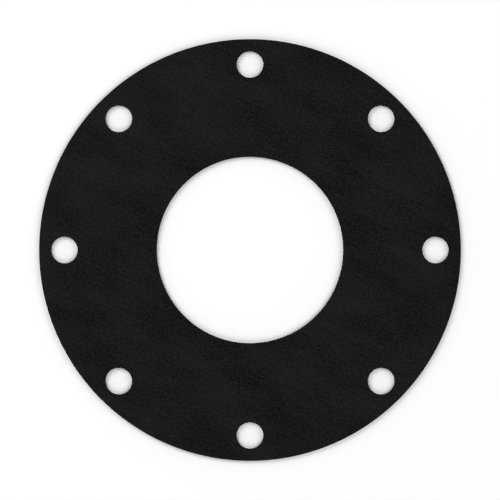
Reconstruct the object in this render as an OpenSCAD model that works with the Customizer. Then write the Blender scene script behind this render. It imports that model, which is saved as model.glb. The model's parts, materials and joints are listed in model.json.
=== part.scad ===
// Full face flange gasket.
// One flat ring cut from black sheet rubber. It covers the whole face of a pipe flange, out past
// the bolts, so the flange bolts pass through it and hold it in place.
// The gasket lies on its lower face, z = 0, with the bore's axis on Z. Sizes are in millimetres.

/* [Sheet] */
// Thickness of the rubber sheet
thickness = 3.2; // [1.6:0.1:6.4]
// Distance from the bolt hole centres out to the rim
edge_distance = 20.25; // [16:0.25:30]

/* [Bore] */
// Diameter of the bore, which lines up with the passage of the pipe
bore_d = 150; // [60:1:220]

/* [Bolt holes] */
// Number of bolt holes, evenly pitched
bolt_count = 8; // [4:1:16]
// Diameter of the circle through the bolt hole centres
bolt_circle_d = 298.5; // [240:0.5:420]
// Diameter of one bolt hole
bolt_hole_d = 21.4; // [14:0.1:28]

/* [Cut edges] */
// Radius that the knife rolls onto the upper edge of each cut
edge_roll = 0.3; // [0.1:0.05:0.8]

/* [Hidden] */

// Diameter over the rim
outer_d = bolt_circle_d + 2 * edge_distance;
// The roll can't be deeper than half the sheet
roll = min(edge_roll, thickness / 2);
// How far a cutter stands past each face of the sheet
cut_over = 1;
// Smoothness of the curves
$fa = 2;
$fs = 0.1;

// Half section of the round blank: a plain sheet with its upper outer edge rolled over.
module blank_section() {
    square([outer_d / 2 - roll, thickness]);
    square([outer_d / 2, thickness - roll]);
    translate([outer_d / 2 - roll, thickness - roll]) circle(roll);
}

// Half section of a round cutter of diameter d: straight through the sheet, then flared at the
// upper face, so that it leaves a rolled edge round the hole.
module cutter_section(d) {
    difference() {
        translate([0, -cut_over]) square([d / 2 + roll, thickness + 2 * cut_over]);
        translate([d / 2, -2 * cut_over]) square([2 * roll, thickness - roll + 2 * cut_over]);
        translate([d / 2 + roll, thickness - roll]) circle(roll);
    }
}

module round_cut(d) {
    rotate_extrude() cutter_section(d);
}

// The whole gasket: the blank less its bore and its ring of bolt holes, with one hole on +X.
module gasket() {
    color([0.02, 0.02, 0.02])
    difference() {
        rotate_extrude() blank_section();
        round_cut(bore_d);
        for (k = [0 : bolt_count - 1])
            rotate(k * 360 / bolt_count)
                translate([bolt_circle_d / 2, 0, 0])
                    round_cut(bolt_hole_d);
    }
}

gasket();
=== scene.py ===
# %% [markdown]
# # A full face flange gasket
#
# This lesson dresses one part: a flat ring of black sheet rubber that seals two pipe flanges. It covers the
# whole flange face, out past the bolts, so the bolts pass through eight holes in it.
# The measured model is loaded first and is never moved. It says how large the ring is and where its holes
# are, and everything made below takes its sizes from there. Blender works in metres here.

# %% Load the measured model
import json
import math

import bmesh
import bpy
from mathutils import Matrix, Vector


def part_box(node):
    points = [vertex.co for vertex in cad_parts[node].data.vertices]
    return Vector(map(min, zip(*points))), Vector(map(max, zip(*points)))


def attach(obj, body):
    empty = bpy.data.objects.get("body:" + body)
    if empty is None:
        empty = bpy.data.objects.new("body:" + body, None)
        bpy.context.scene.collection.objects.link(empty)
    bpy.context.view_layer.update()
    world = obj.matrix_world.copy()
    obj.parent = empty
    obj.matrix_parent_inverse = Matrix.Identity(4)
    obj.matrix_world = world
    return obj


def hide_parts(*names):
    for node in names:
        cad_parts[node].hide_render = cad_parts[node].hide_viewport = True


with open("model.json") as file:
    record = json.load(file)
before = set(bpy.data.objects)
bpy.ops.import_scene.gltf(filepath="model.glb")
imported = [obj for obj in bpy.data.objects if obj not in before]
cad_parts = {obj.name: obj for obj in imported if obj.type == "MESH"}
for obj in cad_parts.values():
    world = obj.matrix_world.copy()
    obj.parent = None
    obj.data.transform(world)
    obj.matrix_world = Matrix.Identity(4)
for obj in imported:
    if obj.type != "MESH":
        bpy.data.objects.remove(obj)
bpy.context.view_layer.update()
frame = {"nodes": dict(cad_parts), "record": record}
print("nodes:", sorted(frame["nodes"]))

# %% [markdown]
# ## Sizes
#
# The record that comes with the model lists where the ring is fastened: its bore, its circle of bolt holes
# and its two faces. We could measure the loaded mesh for these, but a mesh has facets, and the record holds
# the true circles. Only the rim and the thickness come from the mesh's box.
# The bore's straight wall stops short of the upper face, because the knife rolls the edge over as it goes
# in. What is missing from the wall is the radius of that roll.

# %% Read the sizes
MM = 0.001
mount_sizes = {mount["name"]: mount["dims"] for mount in frame["record"]["mounts"]}
box_low, box_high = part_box("gasket")

thickness = box_high.z - box_low.z
rim_radius = max(box_high.x, box_high.y)
bore_radius = mount_sizes["bore"]["r_mm"] * MM
bolt_circle_radius = mount_sizes["bolt_holes"]["pcd_mm"] * MM / 2
bolt_hole_radius = mount_sizes["bolt_holes"]["hole_r_mm"] * MM
bolt_count = mount_sizes["bolt_holes"]["count"]
edge_roll = thickness - mount_sizes["bore"]["length_mm"] * MM
print(f"rim {2 * rim_radius / MM:.1f} mm, bore {2 * bore_radius / MM:.1f} mm")
print(f"{bolt_count} bolt holes of {2 * bolt_hole_radius / MM:.1f} mm")
print(f"sheet {thickness / MM:.2f} mm thick, edges rolled {edge_roll / MM:.2f} mm")

# %% [markdown]
# ## Writing node trees as sums
#
# The shape and the finish are both node trees. A tree could be wired by hand, one link at a time, but then
# a sum of three terms takes a dozen lines and hides what it means. So one small class wraps a node's
# output and takes part in Python sums: each + - * / or ** adds a Math node. Every other kind of node comes
# from the class's one method, which sets the node up first and then fills or links its sockets.

# %% A wire between nodes
class Wire:
    """One output of a node. Sums written with wires add Math nodes to the tree that they are in."""

    def __init__(self, socket):
        self.socket = socket

    @staticmethod
    def node(tree, kind, settings=None, sockets=None, output=0):
        """Adds any node, sets it up, fills or links its sockets, and returns one of its outputs, if any."""
        made = tree.nodes.new(kind)
        for name, value in (settings or {}).items():
            setattr(made, name, value)
        for key, values in (sockets or {}).items():
            for value in values if isinstance(values, list) else [values]:
                if isinstance(value, Wire):
                    tree.links.new(value.socket, made.inputs[key])
                else:
                    made.inputs[key].default_value = value
        return Wire(made.outputs[output]) if len(made.outputs) else None

    def also(self, output):
        """Another output of the same node."""
        return Wire(self.socket.node.outputs[output])

    def maths(self, operation, other=0.0, swapped=False):
        """A Math node on this wire and another value, in that order unless they are swapped."""
        first, second = (other, self) if swapped else (self, other)
        settings = {"operation": operation}
        return Wire.node(self.socket.id_data, "ShaderNodeMath", settings, {0: first, 1: second})

    def __add__(self, other):
        return self.maths("ADD", other)

    def __radd__(self, other):
        return self.maths("ADD", other, swapped=True)

    def __sub__(self, other):
        return self.maths("SUBTRACT", other)

    def __rsub__(self, other):
        return self.maths("SUBTRACT", other, swapped=True)

    def __mul__(self, other):
        return self.maths("MULTIPLY", other)

    def __rmul__(self, other):
        return self.maths("MULTIPLY", other, swapped=True)

    def __truediv__(self, other):
        return self.maths("DIVIDE", other)

    def __rtruediv__(self, other):
        return self.maths("DIVIDE", other, swapped=True)

    def __pow__(self, other):
        return self.maths("POWER", other)

    def __rpow__(self, other):
        return self.maths("POWER", other, swapped=True)


print("wires add Math nodes for + - * / and **")

# %% [markdown]
# ## The finish: black sheet rubber
#
# Rubber sheet is rolled between steel drums and then cured in a press. Carbon black colours it all the way
# through, so a cut wall is as black as the face, only duller, with fine lines where the knife scored it.
# The face has a pebbled grain, faint streaks along the way it was rolled, and cloudy patches, called bloom,
# where wax has come to the surface. Round each cut the knife's bevel rubs the face's edge smooth.
# A picture of rubber could be laid over the ring, but it would blur up close and show its edges. Noise
# that is worked out from the place on the part, in metres, has no edges and stays sharp. The sheet's own
# patterns leave out the height, so that both faces carry the same ones.

# %% Noise by its real size
FINER_NOISE = 0.55


def unevenness(tree, place, size, detail=2.0, stretch=(1.0, 1.0, 1.0)):
    """Noise from -0.5 to 0.5, in lumps about size metres wide that stretch makes longer along an axis."""
    repeats = tuple(1 / (size * longer) for longer in stretch)
    scaled = Wire.node(tree, "ShaderNodeVectorMath", {"operation": "MULTIPLY"}, {0: place, 1: repeats})
    sockets = {"Vector": scaled, "Scale": 1.0, "Detail": detail, "Roughness": FINER_NOISE}
    return Wire.node(tree, "ShaderNodeTexNoise", {"noise_dimensions": "3D"}, sockets) - 0.5


print("unevenness takes its size in metres")

# %% A blend of two colours
FIRST_COLOUR = 6
SECOND_COLOUR = 7
BLENDED_COLOUR = 2


def blend_colours(tree, share, first, second):
    """A colour between two others, by a Mix node's colour sockets. Math nodes would turn it grey."""
    sockets = {"Factor": share, FIRST_COLOUR: first, SECOND_COLOUR: second}
    return Wire.node(tree, "ShaderNodeMix", {"data_type": "RGBA"}, sockets, output=BLENDED_COLOUR)


print("a Mix node has sockets for numbers, vectors and colours, so its colour sockets go by number")

# %% Where on the sheet
ROLLING_ANGLE = math.radians(24)
FLAT = (1.0, 1.0, 0.0)

rubber = bpy.data.materials.new("black_sheet_rubber")
rubber.use_nodes = True
finish = rubber.node_tree
finish.nodes.clear()

place = Wire.node(finish, "ShaderNodeTexCoord", output="Object")
on_the_sheet = Wire.node(finish, "ShaderNodeMapping", sockets={
    "Vector": place,
    "Rotation": (0.0, 0.0, ROLLING_ANGLE),
    "Scale": FLAT,
})
print(f"the sheet was rolled at {math.degrees(ROLLING_ANGLE):.0f} degrees to X")

# %% Grain, streaks, bloom and knife lines
GRAIN_SIZE = 1.8 * MM
STREAK_WIDTH = 2.2 * MM
STREAK_STRETCH = 70.0
BLOOM_SIZE = 30 * MM
BLOOM_STRETCH = 2.0
KNIFE_LINE_WIDTH = 1.0 * MM
KNIFE_LINE_STRETCH = 8.0

grain = unevenness(finish, on_the_sheet, GRAIN_SIZE, detail=3.0)
streaks = unevenness(finish, on_the_sheet, STREAK_WIDTH, stretch=(STREAK_STRETCH, 1.0, 1.0))
bloom = unevenness(finish, on_the_sheet, BLOOM_SIZE, detail=4.0, stretch=(BLOOM_STRETCH, 1.0, 1.0))
knife_lines = unevenness(finish, place, KNIFE_LINE_WIDTH, stretch=(1.0, 1.0, KNIFE_LINE_STRETCH))
print(f"grain of {GRAIN_SIZE / MM} mm, streaks {STREAK_WIDTH * STREAK_STRETCH / MM:.0f} mm long")

# %% [markdown]
# A pale spot on rubber is also a dull spot, whether grain, a streak or bloom made it. So one pattern drives
# both the colour and the roughness of the face. The walls have a pattern of their own, the lines that the
# knife scored down through the sheet. The rubbed edges have the face's colour, but they are smooth and a
# little shiny. Two marks on the mesh say what the knife cut and what it rubbed, and the rest is face.

# %% Cut, rubbed or face
CUT_MARK = "knife_cut"
RUBBED_MARK = "knife_rubbed"

on_cut = Wire.node(finish, "ShaderNodeAttribute", {"attribute_name": CUT_MARK}, output="Fac")
on_rubbed = Wire.node(finish, "ShaderNodeAttribute", {"attribute_name": RUBBED_MARK}, output="Fac")
on_face = 1 - on_cut - on_rubbed
print("marks that the mesh will carry:", CUT_MARK, "and", RUBBED_MARK)

# %% How strongly each pattern shows
GRAIN_SHOWS = 2.2
BLOOM_SHOWS = 1.2
STREAKS_SHOW = 0.5
SCORING_SHOWS = 1.8

face_pattern = grain * GRAIN_SHOWS + bloom * BLOOM_SHOWS + streaks * STREAKS_SHOW
cut_pattern = knife_lines * SCORING_SHOWS
print("face pattern: grain, bloom and streaks; cut pattern: knife lines")

# %% Colour
FACE_BLACK = (0.0005, 0.0005, 0.0006, 1.0)
BLOOM_BLACK = (0.0118, 0.0118, 0.0121, 1.0)
FACE_PALENESS = 0.34
CUT_BLACK = (0.0025, 0.0025, 0.0026, 1.0)
SCORED_BLACK = (0.0120, 0.0120, 0.0123, 1.0)
CUT_PALENESS = 0.42

face_black = blend_colours(finish, FACE_PALENESS + face_pattern, FACE_BLACK, BLOOM_BLACK)
cut_black = blend_colours(finish, CUT_PALENESS + cut_pattern, CUT_BLACK, SCORED_BLACK)
black = blend_colours(finish, on_cut, face_black, cut_black)
print(f"face black from {FACE_BLACK[:3]} to {BLOOM_BLACK[:3]}")

# %% Roughness
FACE_ROUGHNESS = 0.58
FACE_DULLING = 0.32
CUT_ROUGHNESS = 0.75
CUT_DULLING = 0.2
RUBBED_ROUGHNESS = 0.36

face_roughness = FACE_ROUGHNESS + face_pattern * FACE_DULLING
cut_roughness = CUT_ROUGHNESS + cut_pattern * CUT_DULLING
roughness = face_roughness * on_face + cut_roughness * on_cut + RUBBED_ROUGHNESS * on_rubbed
print(f"roughness about {FACE_ROUGHNESS} on faces, {CUT_ROUGHNESS} on walls, {RUBBED_ROUGHNESS} on edges")

# %% Relief and shine
GRAIN_DEPTH = 0.25 * MM
STREAK_DEPTH = 0.03 * MM
KNIFE_LINE_DEPTH = 0.08 * MM
SHINE = 0.11

face_height = grain * GRAIN_DEPTH + streaks * STREAK_DEPTH
height = face_height * on_face + knife_lines * KNIFE_LINE_DEPTH * on_cut
relief = Wire.node(finish, "ShaderNodeBump", sockets={"Strength": 1.0, "Distance": 1.0, "Height": height})
shader = Wire.node(finish, "ShaderNodeBsdfPrincipled", sockets={
    "Base Color": black,
    "Roughness": roughness,
    "Specular IOR Level": SHINE,
    "Normal": relief,
})
Wire.node(finish, "ShaderNodeOutputMaterial", sockets={"Surface": shader})
print(f"{rubber.name}: {len(finish.nodes)} nodes")

# %% [markdown]
# ## The ring, cut as the maker cuts it
#
# On the real gasket, one press of a set of round knives makes every edge at once: the rim, the bore and
# the ring of bolt holes. We could cut cylinders out of a disc, but then each wall would still need the form
# that the knife leaves on it. So a Geometry Nodes tree works as the cutter does. It draws the cut lines,
# sweeps the knife's section along them to make the walls, and fills between them to make the two faces.
# Each line is walked with the rubber on its left, so one section serves every wall: the rim runs
# anticlockwise, and the bore and the holes run clockwise.

# %% Inputs of the tree
WALL_HOLLOW = 0.06 * MM
ROUNDNESS = 0.005 * MM
SOCKET_TYPES = {float: "NodeSocketFloat", int: "NodeSocketInt", bpy.types.Material: "NodeSocketMaterial"}

cutter = bpy.data.node_groups.new("Gasket cut from sheet", "GeometryNodeTree")
cutter.interface.new_socket("Geometry", in_out="OUTPUT", socket_type="NodeSocketGeometry")
tree_values = {
    "Rim radius": rim_radius,
    "Bore radius": bore_radius,
    "Bolt circle radius": bolt_circle_radius,
    "Bolt hole radius": bolt_hole_radius,
    "Bolt count": bolt_count,
    "Thickness": thickness,
    "Edge roll": edge_roll,
    "Wall hollow": WALL_HOLLOW,
    "Roundness": ROUNDNESS,
    "Finish": rubber,
}
socket_ids = {}
for name, value in tree_values.items():
    item = cutter.interface.new_socket(name, in_out="INPUT", socket_type=SOCKET_TYPES[type(value)])
    socket_ids[name] = item.identifier

inputs = Wire.node(cutter, "NodeGroupInput")
given = {name: inputs.also(name) for name in tree_values}
print("inputs:", ", ".join(given))

# %% [markdown]
# A circle in a mesh is made of straight steps, and how many it needs depends on its size. So each cut line
# gets as many steps as keep it within the set roundness of its true circle.

# %% The cut lines
STEPS_IN_SET = 8


def cut_line(radius):
    """A circle whose steps stay within the roundness, in sets of eight so that it reaches both axes."""
    steps = (radius / (2 * given["Roundness"])) ** 0.5 * math.pi
    sets = (steps / STEPS_IN_SET).maths("CEIL")
    sockets = {"Resolution": sets * STEPS_IN_SET, "Radius": radius}
    return Wire.node(cutter, "GeometryNodeCurvePrimitiveCircle", {"mode": "RADIUS"}, sockets)


bolt_places = Wire.node(cutter, "GeometryNodeMeshCircle", sockets={
    "Vertices": given["Bolt count"],
    "Radius": given["Bolt circle radius"],
})
bolt_lines = Wire.node(cutter, "GeometryNodeInstanceOnPoints", sockets={
    "Points": bolt_places,
    "Instance": cut_line(given["Bolt hole radius"]),
})
bolt_lines = Wire.node(cutter, "GeometryNodeRealizeInstances", sockets={"Geometry": bolt_lines})
hole_lines = Wire.node(cutter, "GeometryNodeJoinGeometry", sockets={
    "Geometry": [bolt_lines, cut_line(given["Bore radius"])],
})
hole_lines = Wire.node(cutter, "GeometryNodeReverseCurve", sockets={"Curve": hole_lines})
cut_lines = Wire.node(cutter, "GeometryNodeJoinGeometry", sockets={
    "Geometry": [hole_lines, cut_line(given["Rim radius"])],
})
print("cut lines: rim, bore and", bolt_count, "bolt holes")

# %% [markdown]
# The knife's section gives the walls their form. Soft sheet bulges under the knife and springs back, which
# leaves a wall a little hollow, and the knife drags the upper edge down into a small roll. The section is
# drawn flat: its x points off the rubber, and its y points down through the sheet. The hollow follows a
# parabola that is 0 at both ends of the wall and 1 halfway.

# %% The knife's section
WALL_STEPS = 8
ROLL_STEPS = 6


def vector(x=0.0, y=0.0, z=0.0):
    """A vector whose parts are numbers or wires."""
    return Wire.node(cutter, "ShaderNodeCombineXYZ", sockets={"X": x, "Y": y, "Z": z})


roll = given["Edge roll"]
straight = given["Thickness"] - roll
wall = Wire.node(cutter, "GeometryNodeCurvePrimitiveLine", {"mode": "POINTS"}, {
    "Start": (0.0, 0.0, 0.0),
    "End": vector(y=0 - straight),
})
wall = Wire.node(cutter, "GeometryNodeResampleCurve", sockets={"Curve": wall, "Count": WALL_STEPS + 1})
up = Wire.node(cutter, "GeometryNodeSplineParameter", output="Factor")
parabola = 4 * up * (1 - up)
hollow = vector(x=0 - given["Wall hollow"] * parabola)
wall = Wire.node(cutter, "GeometryNodeSetPosition", sockets={"Geometry": wall, "Offset": hollow})

rolled_edge = Wire.node(cutter, "GeometryNodeCurveArc", {"mode": "RADIUS"}, {
    "Resolution": ROLL_STEPS + 1,
    "Radius": roll,
    "Start Angle": 0.0,
    "Sweep Angle": -math.pi / 2,
})
rolled_edge = Wire.node(cutter, "GeometryNodeSetPosition", sockets={
    "Geometry": rolled_edge,
    "Offset": vector(x=0 - roll, y=0 - straight),
})
print(f"section: {WALL_STEPS} steps up the wall, {ROLL_STEPS} round the edge")

# %% [markdown]
# A sweep along a line that has its rubber on the left comes out inside out, and a filled line faces up.
# So the walls, the rolled edges and the lower face are flipped, and then every face looks away from the
# rubber. What the knife made carries a mark, which tells the finish where to be dull and where to shine.

# %% Walls and rolled edges
def swept(section, mark):
    """A skin along every cut line, with a mark for the finish."""
    lines = {"Curve": cut_lines, "Profile Curve": section}
    skin = Wire.node(cutter, "GeometryNodeCurveToMesh", sockets=lines)
    skin = Wire.node(cutter, "GeometryNodeFlipFaces", sockets={"Mesh": skin})
    settings = {"data_type": "FLOAT", "domain": "FACE"}
    sockets = {"Geometry": skin, "Name": mark, "Value": 1.0}
    return Wire.node(cutter, "GeometryNodeStoreNamedAttribute", settings, sockets)


walls = swept(wall, CUT_MARK)
rolled_edges = swept(rolled_edge, RUBBED_MARK)
print("walls and rolled edges swept along every cut line")

# %% Upper and lower face
lower = Wire.node(cutter, "GeometryNodeFillCurve", {"mode": "TRIANGLES"}, {"Curve": cut_lines})
lower = Wire.node(cutter, "GeometryNodeFlipFaces", sockets={"Mesh": lower})

off_the_rubber = Wire.node(cutter, "GeometryNodeInputNormal")
inset = Wire.node(cutter, "ShaderNodeVectorMath", {"operation": "SCALE"}, {
    "Vector": off_the_rubber,
    "Scale": 0 - roll,
})
inset_lines = Wire.node(cutter, "GeometryNodeSetPosition", sockets={"Geometry": cut_lines, "Offset": inset})
upper = Wire.node(cutter, "GeometryNodeFillCurve", {"mode": "TRIANGLES"}, {"Curve": inset_lines})
upper = Wire.node(cutter, "GeometryNodeSetPosition", sockets={
    "Geometry": upper,
    "Offset": vector(z=given["Thickness"]),
})
print("faces filled between the cut lines, the upper one inside the rolled edges")

# %% [markdown]
# Walls, edges and faces are welded into one skin. The walls and the rolled edges are shaded smooth and the
# faces flat. The renderer would still bend the smooth shading round the foot of each wall, as if it were
# rounded, so the edges with a real corner are marked as sharp.

# %% One closed skin
WELD_GAP = 0.001 * MM
REAL_CORNER = math.radians(30)


def shaded(geometry, smoothly):
    """The geometry with all its faces shaded smooth, or all flat."""
    sockets = {"Geometry": geometry, "Shade Smooth": smoothly}
    return Wire.node(cutter, "GeometryNodeSetShadeSmooth", {"domain": "FACE"}, sockets)


knife_made = Wire.node(cutter, "GeometryNodeJoinGeometry", sockets={"Geometry": [walls, rolled_edges]})
ring = Wire.node(cutter, "GeometryNodeJoinGeometry", sockets={
    "Geometry": [shaded(knife_made, True), shaded(lower, False), shaded(upper, False)],
})
ring = Wire.node(cutter, "GeometryNodeMergeByDistance", sockets={"Geometry": ring, "Distance": WELD_GAP})
bend = Wire.node(cutter, "GeometryNodeInputMeshEdgeAngle", output="Unsigned Angle")
ring = Wire.node(cutter, "GeometryNodeSetShadeSmooth", {"domain": "EDGE"}, {
    "Geometry": ring,
    "Selection": bend.maths("GREATER_THAN", REAL_CORNER),
    "Shade Smooth": False,
})
ring = Wire.node(cutter, "GeometryNodeRealizeInstances", sockets={"Geometry": ring})
ring = Wire.node(cutter, "GeometryNodeSetMaterial", sockets={"Geometry": ring, "Material": given["Finish"]})
Wire.node(cutter, "NodeGroupOutput", sockets={"Geometry": ring})
print(f"{cutter.name}: {len(cutter.nodes)} nodes")

# %% The ring as a plain mesh
gasket = bpy.data.objects.new("rubber_gasket", bpy.data.meshes.new("rubber_gasket"))
bpy.context.scene.collection.objects.link(gasket)
pressing = gasket.modifiers.new("cut", "NODES")
pressing.node_group = cutter
for name, value in tree_values.items():
    pressing[socket_ids[name]] = value
cut_ring = gasket.evaluated_get(bpy.context.evaluated_depsgraph_get())
gasket.data = bpy.data.meshes.new_from_object(cut_ring)
gasket.modifiers.clear()

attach(gasket, "root")
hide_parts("gasket")
print(f"{gasket.name}: {len(gasket.data.polygons)} faces")

# %% [markdown]
# Before going on, the ring is weighed against the measured model. A skin with a hole in it has open edges,
# and one with some faces turned the wrong way has too small a volume, or one below zero.

# %% Weigh the ring
def volume_and_gaps(mesh):
    """A mesh's volume in cubic millimetres, and how many of its edges don't join two faces."""
    skin = bmesh.new()
    skin.from_mesh(mesh)
    volume = skin.calc_volume(signed=True) / MM**3
    gaps = sum(len(edge.link_faces) != 2 for edge in skin.edges)
    skin.free()
    return volume, gaps


ring_volume, open_edges = volume_and_gaps(gasket.data)
cad_volume, _ = volume_and_gaps(frame["nodes"]["gasket"].data)
print(f"{open_edges} open edges, {ring_volume:.0f} cubic mm against {cad_volume:.0f} in the measured model")

# %% [markdown]
# ## The skin laid out flat
#
# A model that leaves Blender can't take its noise along. Its finish is baked into pictures first, and a UV
# map says which spot of a picture belongs where. Blender can lay out a map by itself, but it squeezes the
# faces to fill the square and leaves the thin walls a hair's width.
# So this map follows the ring's own form. Both faces share one disc, because the sheet's pattern is the
# same on both. The walls with their rolled edges are laid end to end as one long ribbon, and the ribbon is
# cut into rows below the disc.

# %% The ribbon of walls
RIBBON_ROWS = 8

bolt_turns = [math.tau * k / bolt_count for k in range(bolt_count)]
bolt_centres = [bolt_circle_radius * Vector((math.cos(turn), math.sin(turn))) for turn in bolt_turns]
middle_of_ring = Vector((0.0, 0.0))
circles = [(middle_of_ring, rim_radius), (middle_of_ring, bore_radius)]
circles += [(centre, bolt_hole_radius) for centre in bolt_centres]

ribbon_parts = []
ribbon_length = 0.0
for centre, radius in circles:
    ribbon_parts.append((centre, radius, ribbon_length))
    ribbon_length += math.tau * radius
row_length = ribbon_length / RIBBON_ROWS


def along_and_up(spot, part):
    """How far along the ribbon a spot lies, and how far up the wall and then in over the rolled edge."""
    centre, radius, start = part
    off_centre = spot.xy - centre
    turn = math.atan2(off_centre.y, off_centre.x) % math.tau
    return start + turn * radius, spot.z + abs(off_centre.length - radius)


print(f"ribbon {ribbon_length:.2f} m long, in {RIBBON_ROWS} rows")

# %% Places on the map
MAP_EDGE = 1 / 64
ROW_HEIGHT = 1 / 64
ROW_FILL = 0.8

disc_room = 1 - RIBBON_ROWS * ROW_HEIGHT
disc_scale = (disc_room - MAP_EDGE) / (2 * rim_radius)
disc_middle = Vector((0.5, 1 - disc_room / 2))


def disc_places(face):
    """Where the corners of a flat face lie on the map."""
    return [disc_middle + disc_scale * corner.vert.co.xy for corner in face.loops]


def ribbon_places(face):
    """Where the corners of a wall's face lie on the map, all in the row that its middle is in."""
    middle = face.calc_center_median()
    part = min(ribbon_parts, key=lambda part: abs((middle.xy - part[0]).length - part[1]))
    middle_along, _ = along_and_up(middle, part)
    row = int(middle_along / row_length)
    once_round = math.tau * part[1]
    places = []
    for corner in face.loops:
        along, up = along_and_up(corner.vert.co, part)
        along += round((middle_along - along) / once_round) * once_round
        across = MAP_EDGE + (1 - 2 * MAP_EDGE) * (along / row_length - row)
        fill = 0.5 + ROW_FILL * (up / (thickness + edge_roll) - 0.5)
        places.append((across, (row + fill) * ROW_HEIGHT))
    return places


print(f"the disc takes {disc_room:.3f} of the map's height, the ribbon the rest")

# %% Lay the ring out
MAP_NAME = "OFBake"

skin = bmesh.new()
skin.from_mesh(gasket.data)
flat_map = skin.loops.layers.uv.new(MAP_NAME)
marks = [skin.faces.layers.float[name] for name in (CUT_MARK, RUBBED_MARK)]
for face in skin.faces:
    is_marked = any(face[mark] for mark in marks)
    places = ribbon_places(face) if is_marked else disc_places(face)
    for corner, place_on_map in zip(face.loops, places):
        corner[flat_map].uv = place_on_map
skin.to_mesh(gasket.data)
skin.free()
print(f"{len(gasket.data.loops)} corners laid out on {MAP_NAME}")

# %% [markdown]
# ## Floor and background
#
# The photograph has a plain white ground. A floor that is only painted white goes grey where the lamps
# fall off, and more light would wash out the rubber. So the floor near the ring is a plain white surface,
# which keeps the ring's soft shadow, and further out it turns into an even white that only the eye and
# reflections see.

# %% A smooth step, and what the eye sees directly
def smooth_step(tree, value, low, high):
    """0 where value is below low, 1 where it is above high, and a smooth rise between them."""
    sockets = {"Value": value, "From Min": low, "From Max": high}
    return Wire.node(tree, "ShaderNodeMapRange", {"interpolation_type": "SMOOTHSTEP"}, sockets)


def seen_directly(tree):
    """1 for rays that come from the eye, a reflection or through glass, and 0 for rays that carry light."""
    eye = Wire.node(tree, "ShaderNodeLightPath", output="Is Camera Ray")
    either = eye.maths("MAXIMUM", eye.also("Is Glossy Ray"))
    return either.maths("MAXIMUM", eye.also("Is Transmission Ray"))


print("smooth_step and seen_directly are ready")

# %% Floor paint
FLOOR_WHITE = (0.98, 0.98, 0.98, 1.0)
EVEN_WHITE = (1.0, 1.0, 1.0, 1.0)
SHADOW_ROOM = 0.02
FADE_WIDTH = 0.16

floor_paint = bpy.data.materials.new("white_floor")
floor_paint.use_nodes = True
paint = floor_paint.node_tree
paint.nodes.clear()
spot = Wire.node(paint, "ShaderNodeTexCoord", output="Object")
reach = Wire.node(paint, "ShaderNodeVectorMath", {"operation": "LENGTH"}, {0: spot}, output="Value")
fade_start = rim_radius + SHADOW_ROOM
far = smooth_step(paint, reach, fade_start, fade_start + FADE_WIDTH)
plain = Wire.node(paint, "ShaderNodeBsdfDiffuse", sockets={"Color": FLOOR_WHITE})
even = Wire.node(paint, "ShaderNodeEmission", sockets={"Color": EVEN_WHITE, "Strength": 1.0})
ground = Wire.node(paint, "ShaderNodeMixShader", sockets={0: far * seen_directly(paint), 1: plain, 2: even})
Wire.node(paint, "ShaderNodeOutputMaterial", sockets={"Surface": ground})
print(f"plain white out to {fade_start:.2f} m, even white from {fade_start + FADE_WIDTH:.2f} m")

# %% Floor
FLOOR_HALF = 12.0

corner_signs = [(-1, -1), (1, -1), (1, 1), (-1, 1)]
corners = [(x * FLOOR_HALF, y * FLOOR_HALF, box_low.z) for x, y in corner_signs]
floor_mesh = bpy.data.meshes.new("floor")
floor_mesh.from_pydata(corners, [], [(0, 1, 2, 3)])
floor_mesh.materials.append(floor_paint)
floor = bpy.data.objects.new("floor", floor_mesh)
bpy.context.scene.collection.objects.link(floor)
print(f"floor {2 * FLOOR_HALF:.0f} m wide")

# %% [markdown]
# The world stands for a room with white walls and a dim ceiling. From a low angle the walls leave a white
# background with no horizon. The ring lies flat and so mirrors the ceiling, and a white ceiling would turn
# the black rubber grey.

# %% World
ROOM_WALL_LEVEL = 1.0
CEILING_LEVEL = 0.14
ROOM_WALL_TOP = 0.1
CEILING_EDGE = 0.75

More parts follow.
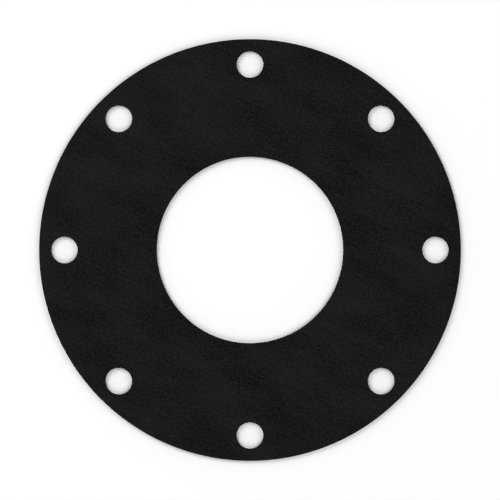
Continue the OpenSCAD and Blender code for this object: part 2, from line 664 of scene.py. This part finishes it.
world = bpy.data.worlds.new("white_room")
world.use_nodes = True
room = world.node_tree
room.nodes.clear()
direction = Wire.node(room, "ShaderNodeTexCoord", output="Generated")
rise = Wire.node(room, "ShaderNodeSeparateXYZ", sockets={"Vector": direction}, output="Z")
overhead = smooth_step(room, rise, ROOM_WALL_TOP, CEILING_EDGE)
level = ROOM_WALL_LEVEL + (CEILING_LEVEL - ROOM_WALL_LEVEL) * overhead
glow = Wire.node(room, "ShaderNodeBackground", sockets={"Color": EVEN_WHITE, "Strength": level})
Wire.node(room, "ShaderNodeOutputWorld", sockets={"Surface": glow})
bpy.context.scene.world = world
print(f"room walls at level {ROOM_WALL_LEVEL}, ceiling at {CEILING_LEVEL}")

# %% [markdown]
# ## Lamps
#
# Three broad soft lamps stand round the ring, as in a small studio. Their strength isn't guessed in watts:
# each is given the share of full white that it adds to a white sheet lying at the ring's place, and the
# watts follow from its distance and slant. With the room's own light the shares make about one, so a
# colour looks about as it is written.

# %% Place the lamps
LAMP_WIDTH = 1.0


def soft_lamp(name, place, share):
    """A square lamp that faces the ring and adds this share of full white there."""
    towards = Vector((0.0, 0.0, thickness)) - Vector(place)
    distance = towards.length
    slant = -towards.z / distance
    lamp = bpy.data.lights.new(name, "AREA")
    lamp.shape = "SQUARE"
    lamp.size = LAMP_WIDTH
    lamp.energy = share * math.pi**2 * distance**2 / slant
    holder = bpy.data.objects.new(name, lamp)
    holder.location = place
    holder.rotation_euler = towards.to_track_quat("-Z", "Y").to_euler()
    bpy.context.scene.collection.objects.link(holder)
    print(f"{name}: {lamp.energy:.1f} W from {distance:.2f} m")


soft_lamp("key_lamp", (-0.9, 0.8, 1.2), share=0.36)
soft_lamp("fill_lamp", (1.15, 0.25, 1.1), share=0.22)
soft_lamp("front_lamp", (-0.2, -1.2, 1.1), share=0.22)

# %% [markdown]
# ## Camera
#
# The photograph looks straight at the ring's face. The ring lies flat, so the camera looks straight down,
# with the top of the picture towards +Y. A long lens from far off keeps the walls nearly out of sight, as
# in the photograph. How far off follows from how wide the rim is in the picture.

# %% Place the camera
PICTURE_PX = 500
RIM_PX = 421.9
LENS_MM = 100.0
SENSOR_MM = 36.0

picture_width = 2 * rim_radius * PICTURE_PX / RIM_PX
camera_height = picture_width * LENS_MM / SENSOR_MM
lens = bpy.data.cameras.new("camera")
lens.lens = LENS_MM
lens.sensor_width = SENSOR_MM
camera = bpy.data.objects.new("camera", lens)
camera.location = (0.0, 0.0, thickness + camera_height)
bpy.context.scene.collection.objects.link(camera)
bpy.context.scene.camera = camera
bpy.context.scene.view_settings.view_transform = "Standard"
print(f"camera {camera_height:.3f} m above the ring")
